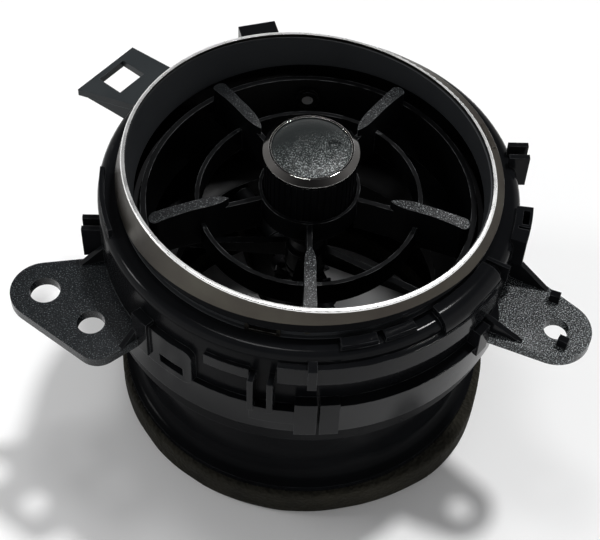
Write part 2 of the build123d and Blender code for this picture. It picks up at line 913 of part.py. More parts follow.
# Grille: five leaf spokes, their webs, the middle ring and the hub cup
with BuildSketch() as leaf:
    with BuildLine():
        half = spoke_end_width / 2
        round_start = spoke_end_r - spoke_round
        taper_start = round_start - spoke_taper
        Spline(
            (spoke_tip_r, 0), (taper_start, half * 0.86), (round_start, half),
            tangents=((0.8, 0.6), (1, 0)),
        )
        ThreePointArc((round_start, half), (spoke_end_r, 0), (round_start, -half))
        Spline(
            (round_start, -half), (taper_start, -half * 0.86), (spoke_tip_r, 0),
            tangents=((-1, 0), (-0.8, 0.6)),
        )
    make_face()
with BuildPart() as nozzle_grille:
    with BuildSketch(Plane.XY.offset(spoke_rear)):
        with PolarLocations(0, spoke_count, spoke_angle):
            add(leaf.sketch)
    extrude(amount=tall)
    # The spokes' front edges follow one gently domed face
    with BuildSketch(radial_plane(0)) as dome:
        with BuildLine():
            ThreePointArc(
                (spoke_end_r, barrel_front + spoke_end_rise),
                (middle_ring_r, barrel_front + spoke_peak_rise),
                (spoke_tip_r, barrel_front + spoke_tip_rise),
            )
            Polyline(
                (spoke_tip_r, barrel_front + spoke_tip_rise),
                (0, barrel_front + spoke_tip_rise), (0, barrel_rear),
                (spoke_end_r, barrel_rear), (spoke_end_r, barrel_front + spoke_end_rise),
            )
        make_face()
    revolve(axis=Axis.Z, mode=Mode.INTERSECT)
    # Webs from the spoke tips to the hub
    with PolarLocations(0, spoke_count, spoke_angle):
        with Locations((hub_r - overlap, 0, spoke_rear)):
            Box(
                spoke_tip_r - hub_r + spoke_end_width, web_width,
                hub_front - web_drop - spoke_rear,
                align=(Align.MIN, Align.CENTER, Align.MIN),
            )
    with BuildSketch(Plane.XY.offset(spoke_rear)):
        Circle(middle_ring_r)
        Circle(middle_ring_r - middle_ring_wall, mode=Mode.SUBTRACT)
    extrude(amount=barrel_front + middle_ring_rise - spoke_rear)
    add(ball_zone(ball_r - barrel_wall, ball_r + barrel_wall, barrel_rear, barrel_front),
        mode=Mode.SUBTRACT)
    with BuildSketch(outward(ball_r - nozzle_boss_depth - fit_gap, 270, pivot_height)):
        Circle(nozzle_boss_r + fit_gap)
    extrude(amount=2 * nozzle_boss_depth, mode=Mode.SUBTRACT)
    add(ring_profile([
        (hub_r, hub_front), (hub_r, hub_floor_top - hub_floor),
        (sleeve_r, hub_floor_top - hub_floor), (sleeve_r, sleeve_bottom),
        (shaft_r + running_gap, sleeve_bottom), (shaft_r + running_gap, sleeve_top),
        (sleeve_r, sleeve_top), (sleeve_r, hub_floor_top),
        (hub_r - hub_wall, hub_floor_top), (hub_r - hub_wall, hub_front),
    ]))
    revolve(axis=Axis.Z)
nozzle_grille.part.label = "nozzle_grille"
export_step(nozzle_grille.part, "parts/nozzle_grille.step")

# Ribbed knob body
with BuildPart() as knob_body:
    add(ring_profile([
        (knob_r, knob_bottom), (knob_r, knob_shoulder), (shaft_r, knob_shoulder),
        (shaft_r, sleeve_top + knob_pocket), (sleeve_r + hub_wall, sleeve_top + knob_pocket),
        (sleeve_r + hub_wall, knob_shoulder - knob_web),
        (knob_r - knob_wall, knob_shoulder - knob_web),
        (knob_r - knob_wall, knob_bottom),
    ]))
    revolve(axis=Axis.Z)
    with BuildSketch(Plane.XY.offset(knob_bottom)):
        with PolarLocations(knob_r, knob_grooves):
            Rectangle(2 * groove_depth, groove_width)
    extrude(amount=tall, mode=Mode.SUBTRACT)
knob_body.part.label = "knob_body"
export_step(knob_body.part, "parts/knob_body.step")

# Chrome trim ring round the knob's face
with BuildPart() as knob_trim_ring:
    add(ring_profile([
        (trim_face_r, knob_shoulder), (trim_r - trim_overhang, knob_shoulder),
        (trim_r, knob_shoulder + trim_side - trim_slope), (trim_r, knob_shoulder + trim_side),
        (trim_face_r + trim_land, trim_top), (trim_face_r, trim_top),
    ]))
    revolve(axis=Axis.Z)
knob_trim_ring.part.label = "knob_trim_ring"
export_step(knob_trim_ring.part, "parts/knob_trim_ring.step")

# Grained knob face with its finger dimple
with BuildPart() as knob_cap:
    with BuildSketch(radial_plane(0)):
        with BuildLine():
            Polyline(
                (0, trim_top - cap_drop + cap_dome), (0, knob_shoulder),
                (trim_face_r - cap_gap, knob_shoulder),
                (trim_face_r - cap_gap, trim_top - cap_drop),
            )
            Spline(
                (trim_face_r - cap_gap, trim_top - cap_drop),
                (0, trim_top - cap_drop + cap_dome),
                tangents=((-1, 0.5), (-1, 0)),
            )
        make_face()
    revolve(axis=Axis.Z)
    with Locations((*dimple_place, trim_top + cap_dome - dimple_fall + dimple_r - dimple_depth)):
        Sphere(dimple_r, mode=Mode.SUBTRACT)
knob_cap.part.label = "knob_cap"
export_step(knob_cap.part, "parts/knob_cap.step")

# Knob shaft with the joint ball at its foot
with BuildPart() as knob_shaft:
    with Locations((0, 0, pivot_height)):
        Sphere(joint_ball_r)
    with BuildSketch(Plane.XY.offset(pivot_height)):
        Circle(shaft_r)
    extrude(amount=shaft_top - pivot_height)
    with BuildSketch(Plane.XY.offset(snap_groove_bottom)):
        Circle(snap_clip_r)
        Circle(snap_groove_r, mode=Mode.SUBTRACT)
    extrude(amount=snap_clip_thickness, mode=Mode.SUBTRACT)
    with BuildSketch(outward(-cup_r, 90, pivot_height)):
        Circle(cross_pin_r)
    extrude(amount=2 * cup_r, mode=Mode.SUBTRACT)
knob_shaft.part.label = "knob_shaft"
export_step(knob_shaft.part, "parts/knob_shaft.step")

# Steel cross pin through the joint ball
with BuildPart() as cross_pin:
    with BuildSketch(outward(-cross_pin_half, 90, pivot_height)):
        Circle(cross_pin_r)
    extrude(amount=2 * cross_pin_half)
cross_pin.part.label = "cross_pin"
export_step(cross_pin.part, "parts/cross_pin.step")

# Snap clip that keeps the knob shaft in its sleeve
with BuildPart() as shaft_clip:
    with BuildSketch(Plane.XY.offset(snap_groove_bottom)):
        Circle(snap_clip_r)
        Circle(snap_groove_r, mode=Mode.SUBTRACT)
        with Locations((snap_clip_r, 0)):
            Rectangle(2 * snap_clip_r, snap_clip_mouth, mode=Mode.SUBTRACT)
    extrude(amount=snap_clip_thickness)
shaft_clip.part.label = "shaft_clip"
export_step(shaft_clip.part, "parts/shaft_clip.step")

# Drive shaft with the slotted cup that takes the cross pin
shaft_foot = hinge_height + gear_near - gear_seat - overlap
collar_bottom = bearing_top + collar_gap
with BuildPart() as drive_shaft:
    add(ring_profile([
        (0, shaft_foot), (drive_shaft_r, shaft_foot),
        (drive_shaft_r, collar_bottom), (collar_r, collar_bottom),
        (collar_r, collar_bottom + collar_thickness),
        (drive_shaft_r, collar_bottom + 2 * collar_thickness),
        (drive_shaft_r, cup_bottom - cup_neck), (cup_r, cup_bottom), (cup_r, cup_top),
        (cup_bore_r, cup_top), (cup_bore_r, cup_floor), (0, cup_floor),
    ]))
    revolve(axis=Axis.Z)
    with Locations((0, 0, cup_floor)):
        Box(
            slot_width, 3 * cup_r, 2 * (cup_top - cup_floor),
            align=(Align.CENTER, Align.CENTER, Align.MIN), mode=Mode.SUBTRACT,
        )
drive_shaft.part.label = "drive_shaft"
export_step(drive_shaft.part, "parts/drive_shaft.step")


def bevel_gear(bore_r, tooth_phase, back):
    """Bevel gear about +Z with its cone's apex at the origin."""
    u = Vector(sin(radians(45)), 0, cos(radians(45)))
    v = Vector(sin(radians(45)), 0, -cos(radians(45)))

    def on_root(distance):
        p = u * distance - v * (tooth_dedendum * distance / cone_distance)
        return (p.X, p.Z)
    with BuildPart(mode=Mode.PRIVATE) as gear:
        add(ring_profile([
            (bore_r, on_root(gear_near)[1]), on_root(gear_near), on_root(cone_distance),
            (on_root(cone_distance)[0], back), (bore_r, back),
        ]))
        revolve(axis=Axis.Z)
        for tooth in range(tooth_count):
            turn = Rotation(0, 0, tooth_phase + tooth * 360 / tooth_count)
            for distance in (gear_near, cone_distance):
                scale_by = distance / cone_distance
                place = turn * Location(Plane(
                    origin=u * distance, x_dir=(0, 1, 0), z_dir=u))
                with BuildSketch(Plane(place)):
                    with BuildLine():
                        Polyline(
                            (-tooth_root_half * scale_by, (tooth_dedendum + tooth_embed) * scale_by),
                            (tooth_root_half * scale_by, (tooth_dedendum + tooth_embed) * scale_by),
                            (tooth_tip_half * scale_by, -tooth_addendum * scale_by),
                            (-tooth_tip_half * scale_by, -tooth_addendum * scale_by),
                            close=True,
                        )
                    make_face()
            loft()
    return gear.part


# Bevel gear on the drive shaft's foot
with BuildPart() as drive_gear:
    add(Pos(0, 0, hinge_height) * Rotation(0, 0, hinge_angle)
        * bevel_gear(drive_shaft_r, 0, gear_back - gear_seat))
drive_gear.part.label = "drive_gear"
export_step(drive_gear.part, "parts/drive_gear.step")

# Damper frame: funnel ring, four arms and the drive shaft's bearing
with BuildPart() as damper_frame:
    add(ring_profile([
        (frame_inner_r, ledge_height), (frame_r, ledge_height), (frame_r, frame_top),
        (frame_r - frame_rim, frame_top), (frame_inner_r + frame_rim_inset, frame_edge_top),
        (frame_inner_r, frame_edge_top),
    ]))
    revolve(axis=Axis.Z)
    add(ring_profile([
        (drive_shaft_r + running_gap, bearing_bottom), (bearing_r, bearing_bottom),
        (bearing_r, bearing_top), (drive_shaft_r + running_gap, bearing_top),
    ]))
    revolve(axis=Axis.Z)
    for corner in range(4):
        beside = radial_plane(hinge_angle + 45 + 90 * corner).offset(-arm_width / 2)
        with BuildSketch(beside):
            with BuildLine():
                Polyline(
                    (bearing_r - overlap, bearing_bottom + overlap),
                    (frame_inner_r - overlap, frame_edge_top + fit_gap),
                    (frame_inner_r + arm_reach, frame_edge_top - arm_foot),
                    (frame_inner_r + arm_reach, frame_edge_top),
                    (frame_inner_r - overlap, frame_edge_top + arm_height),
                    (bearing_r - overlap, bearing_top - overlap), close=True,
                )
            make_face()
        extrude(amount=arm_width)
    with BuildSketch(outward(-frame_r - wall, hinge_angle, hinge_height)):
        Circle(pin_r)
    extrude(amount=2 * (frame_r + wall), mode=Mode.SUBTRACT)
damper_frame.part.label = "damper_frame"
export_step(damper_frame.part, "parts/damper_frame.step")

# Steel shaft on which both flaps turn
with BuildPart() as flap_shaft:
    with BuildSketch(outward(pin_recess - frame_r, hinge_angle, hinge_height)):
        Circle(pin_r)
    extrude(amount=2 * (frame_r - pin_recess))
flap_shaft.part.label = "flap_shaft"
export_step(flap_shaft.part, "parts/flap_shaft.step")

# Two half round flaps that hang open, with their seals and gears
for side, turn in (("right", 0), ("left", 180)):
    along = Rotation(0, 0, turn) * Location((0, 0, hinge_height), (0, 0, hinge_angle))
    face = Plane(
        origin=(0, 0, hinge_height), x_dir=hinge_dir.rotate(Axis.Z, turn),
        z_dir=hinge_dir.rotate(Axis.Z, turn - 90),
    )
    with BuildPart() as flap:
        with BuildSketch(face.offset(flap_offset)):
            Circle(flap_r)
            Rectangle(3 * flap_r, 2 * flap_r, align=(Align.CENTER, Align.MIN),
                      mode=Mode.SUBTRACT)
            Rectangle(2 * (gear_back + knuckle_gap), 2 * (cone_distance - gear_window),
                      mode=Mode.SUBTRACT)
            for low, high in (
                (knuckle_one_end, knuckle_two_end + knuckle_gap),
                (-knuckle_one_end - knuckle_gap, -gear_back),
                (-flap_r - seal_reach, -knuckle_two_end),
            ):
                with Locations(((low + high) / 2, 0)):
                    Rectangle(high - low, 2 * (knuckle_r + knuckle_gap), mode=Mode.SUBTRACT)
        extrude(amount=flap_thickness)
        for low, high in (
            (gear_back, knuckle_one_end), (knuckle_two_end + knuckle_gap, knuckle_three_end),
            (-knuckle_two_end, -knuckle_one_end - knuckle_gap),
        ):
            with BuildSketch(outward(low, hinge_angle + turn, hinge_height)):
                Circle(knuckle_r)
            extrude(amount=high - low)
        with BuildSketch(outward(-frame_inner_r, hinge_angle, hinge_height)):
            Circle(pin_r + running_gap)
        extrude(amount=2 * frame_inner_r, mode=Mode.SUBTRACT)
    flap.part.label = f"flap_{side}"
    export_step(flap.part, f"parts/flap_{side}.step")

    with BuildPart() as flap_seal:
        with BuildSketch(face.offset(flap_offset + flap_thickness)):
            Circle(flap_r + seal_reach)
            Circle(flap_r + seal_reach - seal_width, mode=Mode.SUBTRACT)
            Rectangle(3 * flap_r, 2 * flap_r, align=(Align.CENTER, Align.MIN),
                      mode=Mode.SUBTRACT)
            Rectangle(3 * flap_r, 2 * (knuckle_r + seal_clearance), mode=Mode.SUBTRACT)
        extrude(amount=seal_thickness)
    flap_seal.part.label = f"flap_seal_{side}"
    export_step(flap_seal.part, f"parts/flap_seal_{side}.step")

    with BuildPart() as flap_gear:
        add(along * Rotation(0, 90, 0)
            * bevel_gear(pin_r + running_gap, 180 / tooth_count, gear_back))
    flap_gear.part.label = f"flap_gear_{side}"
    export_step(flap_gear.part, f"parts/flap_gear_{side}.step")
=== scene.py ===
import json
import math

import bmesh
import bpy
from mathutils import Matrix, Vector, noise

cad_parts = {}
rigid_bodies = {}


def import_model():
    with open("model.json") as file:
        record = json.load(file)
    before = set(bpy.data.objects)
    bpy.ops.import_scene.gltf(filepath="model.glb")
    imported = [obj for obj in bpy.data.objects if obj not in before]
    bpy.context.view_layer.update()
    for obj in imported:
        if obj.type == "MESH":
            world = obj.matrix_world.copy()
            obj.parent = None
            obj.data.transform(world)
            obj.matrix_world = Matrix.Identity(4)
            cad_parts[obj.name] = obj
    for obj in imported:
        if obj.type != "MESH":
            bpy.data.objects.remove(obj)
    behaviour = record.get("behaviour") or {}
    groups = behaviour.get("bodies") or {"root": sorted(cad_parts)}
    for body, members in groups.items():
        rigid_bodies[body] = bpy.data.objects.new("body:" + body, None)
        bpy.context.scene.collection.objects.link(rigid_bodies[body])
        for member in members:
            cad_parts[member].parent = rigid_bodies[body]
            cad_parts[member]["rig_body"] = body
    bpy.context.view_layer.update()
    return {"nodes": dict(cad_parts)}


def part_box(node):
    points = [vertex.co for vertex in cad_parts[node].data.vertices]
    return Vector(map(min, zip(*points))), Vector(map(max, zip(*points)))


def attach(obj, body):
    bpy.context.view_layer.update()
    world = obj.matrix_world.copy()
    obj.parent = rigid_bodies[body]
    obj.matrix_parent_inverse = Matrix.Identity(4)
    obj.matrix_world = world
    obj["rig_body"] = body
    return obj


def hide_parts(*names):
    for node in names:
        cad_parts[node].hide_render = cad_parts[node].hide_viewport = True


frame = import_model()
nodes = frame["nodes"]

MM = 0.001

# Patterns of the finishes: a noise's scale per metre, its detail and its roughness
EDGE_BREAK_PATTERN = (260, 4, 0.6)
PLASTIC_CLOUD = (38, 4, 0.55)
PLASTIC_GLOSS = (90, 5, 0.6)
PLASTIC_RIPPLE = (110, 2, 0.5)
METAL_CLOUD = (60, 4, 0.5)
METAL_GLOSS = (220, 4, 0.6)
FOAM_CLOUD = (55, 5, 0.65)
FOAM_DULLNESS = (300, 3, 0.5)
FOAM_DENTS = (160, 4, 0.6)

# Detail and roughness of the grain, whose scale is each finish's own
PLASTIC_GRAIN = (2, 0.6)
METAL_GRAIN = (3, 0.7)
GRAIN_SCALE = 1500
FOAM_CELL_SCALE = 900

# Depths of the relief and radii of the softened edges
RIPPLE_DEPTH = 0.4 * MM
PLASTIC_GRAIN_DEPTH = 0.1 * MM
METAL_GRAIN_DEPTH = 0.05 * MM
FOAM_CELL_DEPTH = 0.6 * MM
FOAM_DENT_DEPTH = 1.2 * MM
PLASTIC_EDGE = 0.25 * MM
METAL_EDGE = 0.06 * MM
FOAM_EDGE = 0.5 * MM
BEVEL_SAMPLES = 6

# Levels at which a pattern begins to show and shows in full
CLOUD_LEVELS = (0.3, 0.7)
EDGE_BREAK_LEVELS = (0.42, 0.62)
EDGE_LEVELS = (0.90, 0.995)
PAINTED_GLINT_RISE = 0.10


# Shader helpers

def new_material(name):
    """A material with one principled shader; returns the material, its tree and the shader."""
    mat = bpy.data.materials.new(name)
    mat.use_nodes = True
    tree = mat.node_tree
    tree.nodes.clear()
    out = tree.nodes.new("ShaderNodeOutputMaterial")
    shader = tree.nodes.new("ShaderNodeBsdfPrincipled")
    tree.links.new(shader.outputs["BSDF"], out.inputs["Surface"])
    return mat, tree, shader


def object_place(tree):
    """The place on the piece itself, so that the patterns move with it."""
    return tree.nodes.new("ShaderNodeTexCoord").outputs["Object"]


def cloud(tree, vector, scale, detail, rough):
    node = tree.nodes.new("ShaderNodeTexNoise")
    node.inputs["Scale"].default_value = scale
    node.inputs["Detail"].default_value = detail
    node.inputs["Roughness"].default_value = rough
    tree.links.new(vector, node.inputs["Vector"])
    return node.outputs["Fac"]


def spread(tree, fac, low_value, high_value, levels=CLOUD_LEVELS):
    """Maps a factor from between the two levels to between the two values."""
    node = tree.nodes.new("ShaderNodeMapRange")
    node.inputs["From Min"].default_value = levels[0]
    node.inputs["From Max"].default_value = levels[1]
    node.inputs["To Min"].default_value = low_value
    node.inputs["To Max"].default_value = high_value
    tree.links.new(fac, node.inputs["Value"])
    return node.outputs["Result"]


def product(tree, a, b):
    node = tree.nodes.new("ShaderNodeMath")
    node.operation = "MULTIPLY"
    tree.links.new(a, node.inputs[0])
    tree.links.new(b, node.inputs[1])
    return node.outputs["Value"]


def dot_product(tree, a):
    """A dot product node with its first input linked."""
    node = tree.nodes.new("ShaderNodeVectorMath")
    node.operation = "DOT_PRODUCT"
    tree.links.new(a, node.inputs[0])
    return node


def mix_colour(tree, fac, a, b):
    """Mixes from a to b; each is a colour or the output of another node."""
    node = tree.nodes.new("ShaderNodeMix")
    node.data_type = "RGBA"
    for socket, value in (("A", a), ("B", b)):
        if isinstance(value, tuple):
            node.inputs[socket].default_value = (*value, 1)
        else:
            tree.links.new(value, node.inputs[socket])
    tree.links.new(fac, node.inputs["Factor"])
    return node.outputs["Result"]


def along(tree, vector, direction, start, end):
    """Rises from zero at start to one at end, both in mm along the direction."""
    dot = dot_product(tree, vector)
    dot.inputs[1].default_value = direction
    return spread(tree, dot.outputs["Value"], 0, 1, levels=(start * MM, end * MM))


def bump(tree, height, strength, distance, normal):
    node = tree.nodes.new("ShaderNodeBump")
    node.inputs["Strength"].default_value = strength
    node.inputs["Distance"].default_value = distance
    tree.links.new(height, node.inputs["Height"])
    tree.links.new(normal, node.inputs["Normal"])
    return node.outputs["Normal"]


def soft_normal(tree, edge):
    """The normal of a surface whose edges are rounded by the radius given."""
    node = tree.nodes.new("ShaderNodeBevel")
    node.samples = BEVEL_SAMPLES
    node.inputs["Radius"].default_value = edge
    return node.outputs["Normal"]


def edge_wear_and_highlight(tree, vector, soft, break_levels):
    """One along the edges, broken up by a noise, zero elsewhere; the pale edge is partly wear
    and partly painted highlight.
    """
    sharp = tree.nodes.new("ShaderNodeNewGeometry").outputs["Normal"]
    dot = dot_product(tree, sharp)
    tree.links.new(soft, dot.inputs[1])
    edge = spread(tree, dot.outputs["Value"], 1, 0, levels=EDGE_LEVELS)
    edge_breaks = spread(tree, cloud(tree, vector, *EDGE_BREAK_PATTERN), 0, 1, levels=break_levels)
    return product(tree, edge, edge_breaks)


# Finishes

def moulded(name, dark, pale, worn_and_highlight, rough, grain, specular, grain_scale=GRAIN_SCALE,
            ripple=0.0, painted_glint=None, painted_glint_from=None, painted_glint_along=None,
            edge=PLASTIC_EDGE):
    """Moulded plastic: cloudy colour and gloss, grain, painted highlights on the grain's tips,
    and pale edges, partly wear and partly painted highlight.

    painted_glint is the colour of the painted highlights on the grain's tips,
    painted_glint_from the level at which they begin, and painted_glint_along the direction and
    the two places in mm between which they grow.
    """
    mat, tree, shader = new_material(name)
    vector = object_place(tree)
    soft = soft_normal(tree, edge)
    edge_wear_and_glint = edge_wear_and_highlight(tree, vector, soft, EDGE_BREAK_LEVELS)
    clouds = spread(tree, cloud(tree, vector, *PLASTIC_CLOUD), 0, 1)
    body = mix_colour(tree, clouds, dark, pale)
    grains = cloud(tree, vector, grain_scale, *PLASTIC_GRAIN)
    if painted_glint:
        painted_glints = spread(tree, grains, 0, 1, levels=(painted_glint_from, painted_glint_from + PAINTED_GLINT_RISE))
        if painted_glint_along:
            painted_glints = product(tree, painted_glints, along(tree, vector, *painted_glint_along))
        body = mix_colour(tree, painted_glints, body, painted_glint)
    tree.links.new(mix_colour(tree, edge_wear_and_glint, body, worn_and_highlight), shader.inputs["Base Color"])
    gloss = cloud(tree, vector, *PLASTIC_GLOSS)
    tree.links.new(spread(tree, gloss, *rough), shader.inputs["Roughness"])
    shader.inputs["Specular IOR Level"].default_value = specular
    ripples = cloud(tree, vector, *PLASTIC_RIPPLE)
    normal = bump(tree, ripples, ripple, RIPPLE_DEPTH, soft)
    normal = bump(tree, grains, grain, PLASTIC_GRAIN_DEPTH, normal)
    tree.links.new(normal, shader.inputs["Normal"])
    return mat


def metal(name, dark, pale, worn_and_highlight, rough, grain, grain_scale, edge=METAL_EDGE,
          break_levels=EDGE_BREAK_LEVELS):
    """Metal or metal paint: cloudy colour and gloss, a fine grain, and pale edges, partly
    polish and partly painted highlight.
    """
    mat, tree, shader = new_material(name)
    vector = object_place(tree)
    soft = soft_normal(tree, edge)
    edge_wear_and_glint = edge_wear_and_highlight(tree, vector, soft, break_levels)
    clouds = spread(tree, cloud(tree, vector, *METAL_CLOUD), 0, 1)
    body = mix_colour(tree, clouds, dark, pale)
    tree.links.new(mix_colour(tree, edge_wear_and_glint, body, worn_and_highlight), shader.inputs["Base Color"])
    shader.inputs["Metallic"].default_value = 1.0
    gloss = cloud(tree, vector, *METAL_GLOSS)
    tree.links.new(spread(tree, gloss, *rough), shader.inputs["Roughness"])
    grains = cloud(tree, vector, grain_scale, *METAL_GRAIN)
    normal = bump(tree, grains, grain, METAL_GRAIN_DEPTH, soft)
    tree.links.new(normal, shader.inputs["Normal"])
    return mat


def foam(name, dark, pale, rough, specular, cell_relief, dent_relief):
    """Open-celled foam: dull, pitted and uneven in colour."""
    mat, tree, shader = new_material(name)
    vector = object_place(tree)
    clouds = spread(tree, cloud(tree, vector, *FOAM_CLOUD), 0, 1)
    tree.links.new(mix_colour(tree, clouds, dark, pale), shader.inputs["Base Color"])
    dullness = cloud(tree, vector, *FOAM_DULLNESS)
    tree.links.new(spread(tree, dullness, *rough), shader.inputs["Roughness"])
    shader.inputs["Specular IOR Level"].default_value = specular
    cells = tree.nodes.new("ShaderNodeTexVoronoi")
    cells.inputs["Scale"].default_value = FOAM_CELL_SCALE
    tree.links.new(vector, cells.inputs["Vector"])
    soft = soft_normal(tree, FOAM_EDGE)
    normal = bump(tree, cells.outputs["Distance"], cell_relief, FOAM_CELL_DEPTH, soft)
    dents = cloud(tree, vector, *FOAM_DENTS)
    normal = bump(tree, dents, dent_relief, FOAM_DENT_DEPTH, normal)
    tree.links.new(normal, shader.inputs["Normal"])
    return mat


# Plastics

# Its pale edges are broken painted highlights
gloss_black = moulded(
    "gloss_moulding", dark=(0.0040, 0.0043, 0.0050), pale=(0.0070, 0.0074, 0.0082),
    worn_and_highlight=(0.050, 0.052, 0.055), rough=(0.08, 0.15), grain=0.03, ripple=0.08,
    specular=0.065)
# A darker, duller copy of the gloss moulding: painted shade on the barrel's front wall, and
# the black foot of the ring
painted_shade_and_foot_black = moulded(
    "painted_shade_and_foot_moulding", dark=(0.0026, 0.0028, 0.0033), pale=(0.0042, 0.0045, 0.0050),
    worn_and_highlight=(0.018, 0.019, 0.021), rough=(0.18, 0.28), grain=0.05, ripple=0.08,
    specular=0.02)
duct_black = moulded(
    "duct_moulding", dark=(0.0028, 0.0030, 0.0035), pale=(0.0045, 0.0048, 0.0054),
    worn_and_highlight=(0.018, 0.019, 0.021), rough=(0.14, 0.24), grain=0.05, ripple=0.10,
    specular=0.02)
satin_black = moulded(
    "satin_moulding", dark=(0.0200, 0.0216, 0.0240), pale=(0.0270, 0.0290, 0.0315),
    worn_and_highlight=(0.035, 0.037, 0.040), rough=(0.36, 0.46), grain=0.10, ripple=0.04,
    specular=0.25)
# Its pale edges are painted highlight lines along the rings and lips
inner_black = moulded(
    "inner_moulding", dark=(0.0022, 0.0024, 0.0028), pale=(0.0038, 0.0040, 0.0046),
    worn_and_highlight=(0.150, 0.155, 0.160), rough=(0.34, 0.48), grain=0.10, specular=0.06)
knob_black = moulded(
    "knob_moulding", dark=(0.0022, 0.0024, 0.0028), pale=(0.0038, 0.0040, 0.0046),
    worn_and_highlight=(0.020, 0.021, 0.022), rough=(0.28, 0.38), grain=0.10, specular=0.08,
    edge=0.08 * MM)
tab_satin = moulded(
    "tab_moulding", dark=(0.0150, 0.0185, 0.0205), pale=(0.0190, 0.0230, 0.0255),
    worn_and_highlight=(0.060, 0.066, 0.070), rough=(0.34, 0.44), grain=0.08, ripple=0.04,
    specular=0.20)
acetal = moulded(
    "acetal", dark=(0.010, 0.010, 0.011), pale=(0.015, 0.015, 0.016),
    worn_and_highlight=(0.03, 0.03, 0.03), rough=(0.35, 0.45), grain=0.10, grain_scale=900,
    specular=0.10)
rubber = moulded(
    "rubber", dark=(0.018, 0.018, 0.018), pale=(0.030, 0.030, 0.030),
    worn_and_highlight=(0.05, 0.05, 0.05), rough=(0.60, 0.75), grain=0.30, grain_scale=700,
    specular=0.3)

# Grained plastics with painted highlights on the grain's tips: a brightly painted copy for the
# right bracket, a dimly painted copy for the left

left_grain_dim_painted_glints = moulded(
    "left_grain_dim_painted_glints", dark=(0.0050, 0.0062, 0.0074), pale=(0.0095, 0.0112, 0.0125),
    worn_and_highlight=(0.050, 0.054, 0.058), rough=(0.17, 0.26), grain=0.8, grain_scale=3000,
    specular=0.22, painted_glint=(0.110, 0.122, 0.130), painted_glint_from=0.585)
right_grain_bright_painted_glints = moulded(
    "right_grain_bright_painted_glints", dark=(0.0060, 0.0072, 0.0080), pale=(0.0120, 0.0140, 0.0150),
    worn_and_highlight=(0.060, 0.064, 0.068), rough=(0.17, 0.26), grain=0.8, grain_scale=3000,
    specular=0.22, painted_glint=(0.330, 0.360, 0.370), painted_glint_from=0.54)
# Painted highlights on the cap's grain, growing towards the front right
cap_grain_painted_glints = moulded(
    "cap_grain_painted_glints", dark=(0.0080, 0.0105, 0.0105), pale=(0.0120, 0.0150, 0.0150),
    worn_and_highlight=(0.050, 0.054, 0.056), rough=(0.17, 0.26), grain=0.9, grain_scale=3200,
    specular=0.20, painted_glint=(0.420, 0.455, 0.455), painted_glint_from=0.54,
    painted_glint_along=((0.35, -0.94, 0), -3.5, 8.0))
# Painted highlights on the spokes' front faces, growing towards the front right
spoke_grain_painted_glints = moulded(
    "spoke_painted_glint_moulding", dark=(0.0060, 0.0068, 0.0075), pale=(0.0130, 0.0140, 0.0150),
    worn_and_highlight=(0.060, 0.064, 0.068), rough=(0.20, 0.30), grain=0.9, grain_scale=3200,
    specular=0.22, painted_glint=(0.340, 0.360, 0.370), painted_glint_from=0.585,
    painted_glint_along=((0.62, -0.78, 0), -45.0, 30.0))

# Metals and foam

ring_satin = metal(
    "ring_satin_paint", dark=(0.048, 0.042, 0.037), pale=(0.070, 0.066, 0.054),
    worn_and_highlight=(0.30, 0.30, 0.29), rough=(0.30, 0.38), grain=0.10, grain_scale=4200)
# The crest is painted near white as a highlight line
crest_painted_highlight = metal(
    "crest_painted_highlight_metal", dark=(0.86, 0.86, 0.85), pale=(0.94, 0.94, 0.93),
    worn_and_highlight=(0.97, 0.97, 0.96), rough=(0.24, 0.32), grain=0.02, grain_scale=4200,
    edge=0.02 * MM)
# Dark chrome whose edges are painted near white almost all round, as highlight lines
trim_chrome = metal(
    "trim_chrome", dark=(0.075, 0.072, 0.070), pale=(0.110, 0.105, 0.100),
    worn_and_highlight=(0.95, 0.94, 0.92), rough=(0.06, 0.12), grain=0.02, grain_scale=900,
    edge=0.18 * MM, break_levels=(0.0, 0.3))
steel = metal(
    "drawn_steel", dark=(0.42, 0.42, 0.43), pale=(0.50, 0.50, 0.50),
    worn_and_highlight=(0.66, 0.66, 0.66), rough=(0.25, 0.35), grain=0.10, grain_scale=1200)
foam_skin = foam(
    "seal_foam", dark=(0.0065, 0.0062, 0.0045), pale=(0.0190, 0.0175, 0.0125),
    rough=(0.85, 1.0), specular=0.15, cell_relief=0.8, dent_relief=0.7)

FINISH = {
    "bezel_ring": ring_satin, "bezel_bowl": satin_black, "front_housing": gloss_black,
    "rear_duct": duct_black, "foam_seal": foam_skin,
    "nozzle_barrel": inner_black, "nozzle_grille": inner_black,
    "knob_body": knob_black, "knob_trim_ring": trim_chrome, "knob_cap": cap_grain_painted_glints,
    "knob_shaft": acetal, "cross_pin": steel, "shaft_clip": steel,
    "gimbal_ring": acetal, "ring_bushes": rubber, "nozzle_bushes": rubber,
    "ring_pin_right": steel, "ring_pin_left": steel,
    "nozzle_pin_back": steel, "nozzle_pin_front": steel,
    "drive_shaft": acetal, "drive_gear": acetal, "damper_frame": inner_black,
    "flap_shaft": steel, "flap_right": inner_black, "flap_left": inner_black,
    "flap_seal_right": foam_skin, "flap_seal_left": foam_skin,
    "flap_gear_right": acetal, "flap_gear_left": acetal,
}


# Patches: parts of a piece that have a finish of their own. Each test takes the centre of
# a face in mm and its normal.

# A face is level above the one share of its normal and upright below the other
LEVEL_NORMAL = 0.9
UPRIGHT_NORMAL = 0.3


def radius(point):
    return math.hypot(point.x, point.y)


# The ring's crest lies in a sloping plane, and the silver paint ends at another
CREST_HEIGHT = 84.0013
CREST_SLOPE = Vector((0.072, 0.028, 1))
CREST_DEPTH = 0.45
CREST_R = 46.15
CREST_NORMAL = 0.1
RING_FOOT = 79.51
PAINT_HEIGHT = 76.97
PAINT_SLOPE = Vector((0.0084, 0.0946, 1))


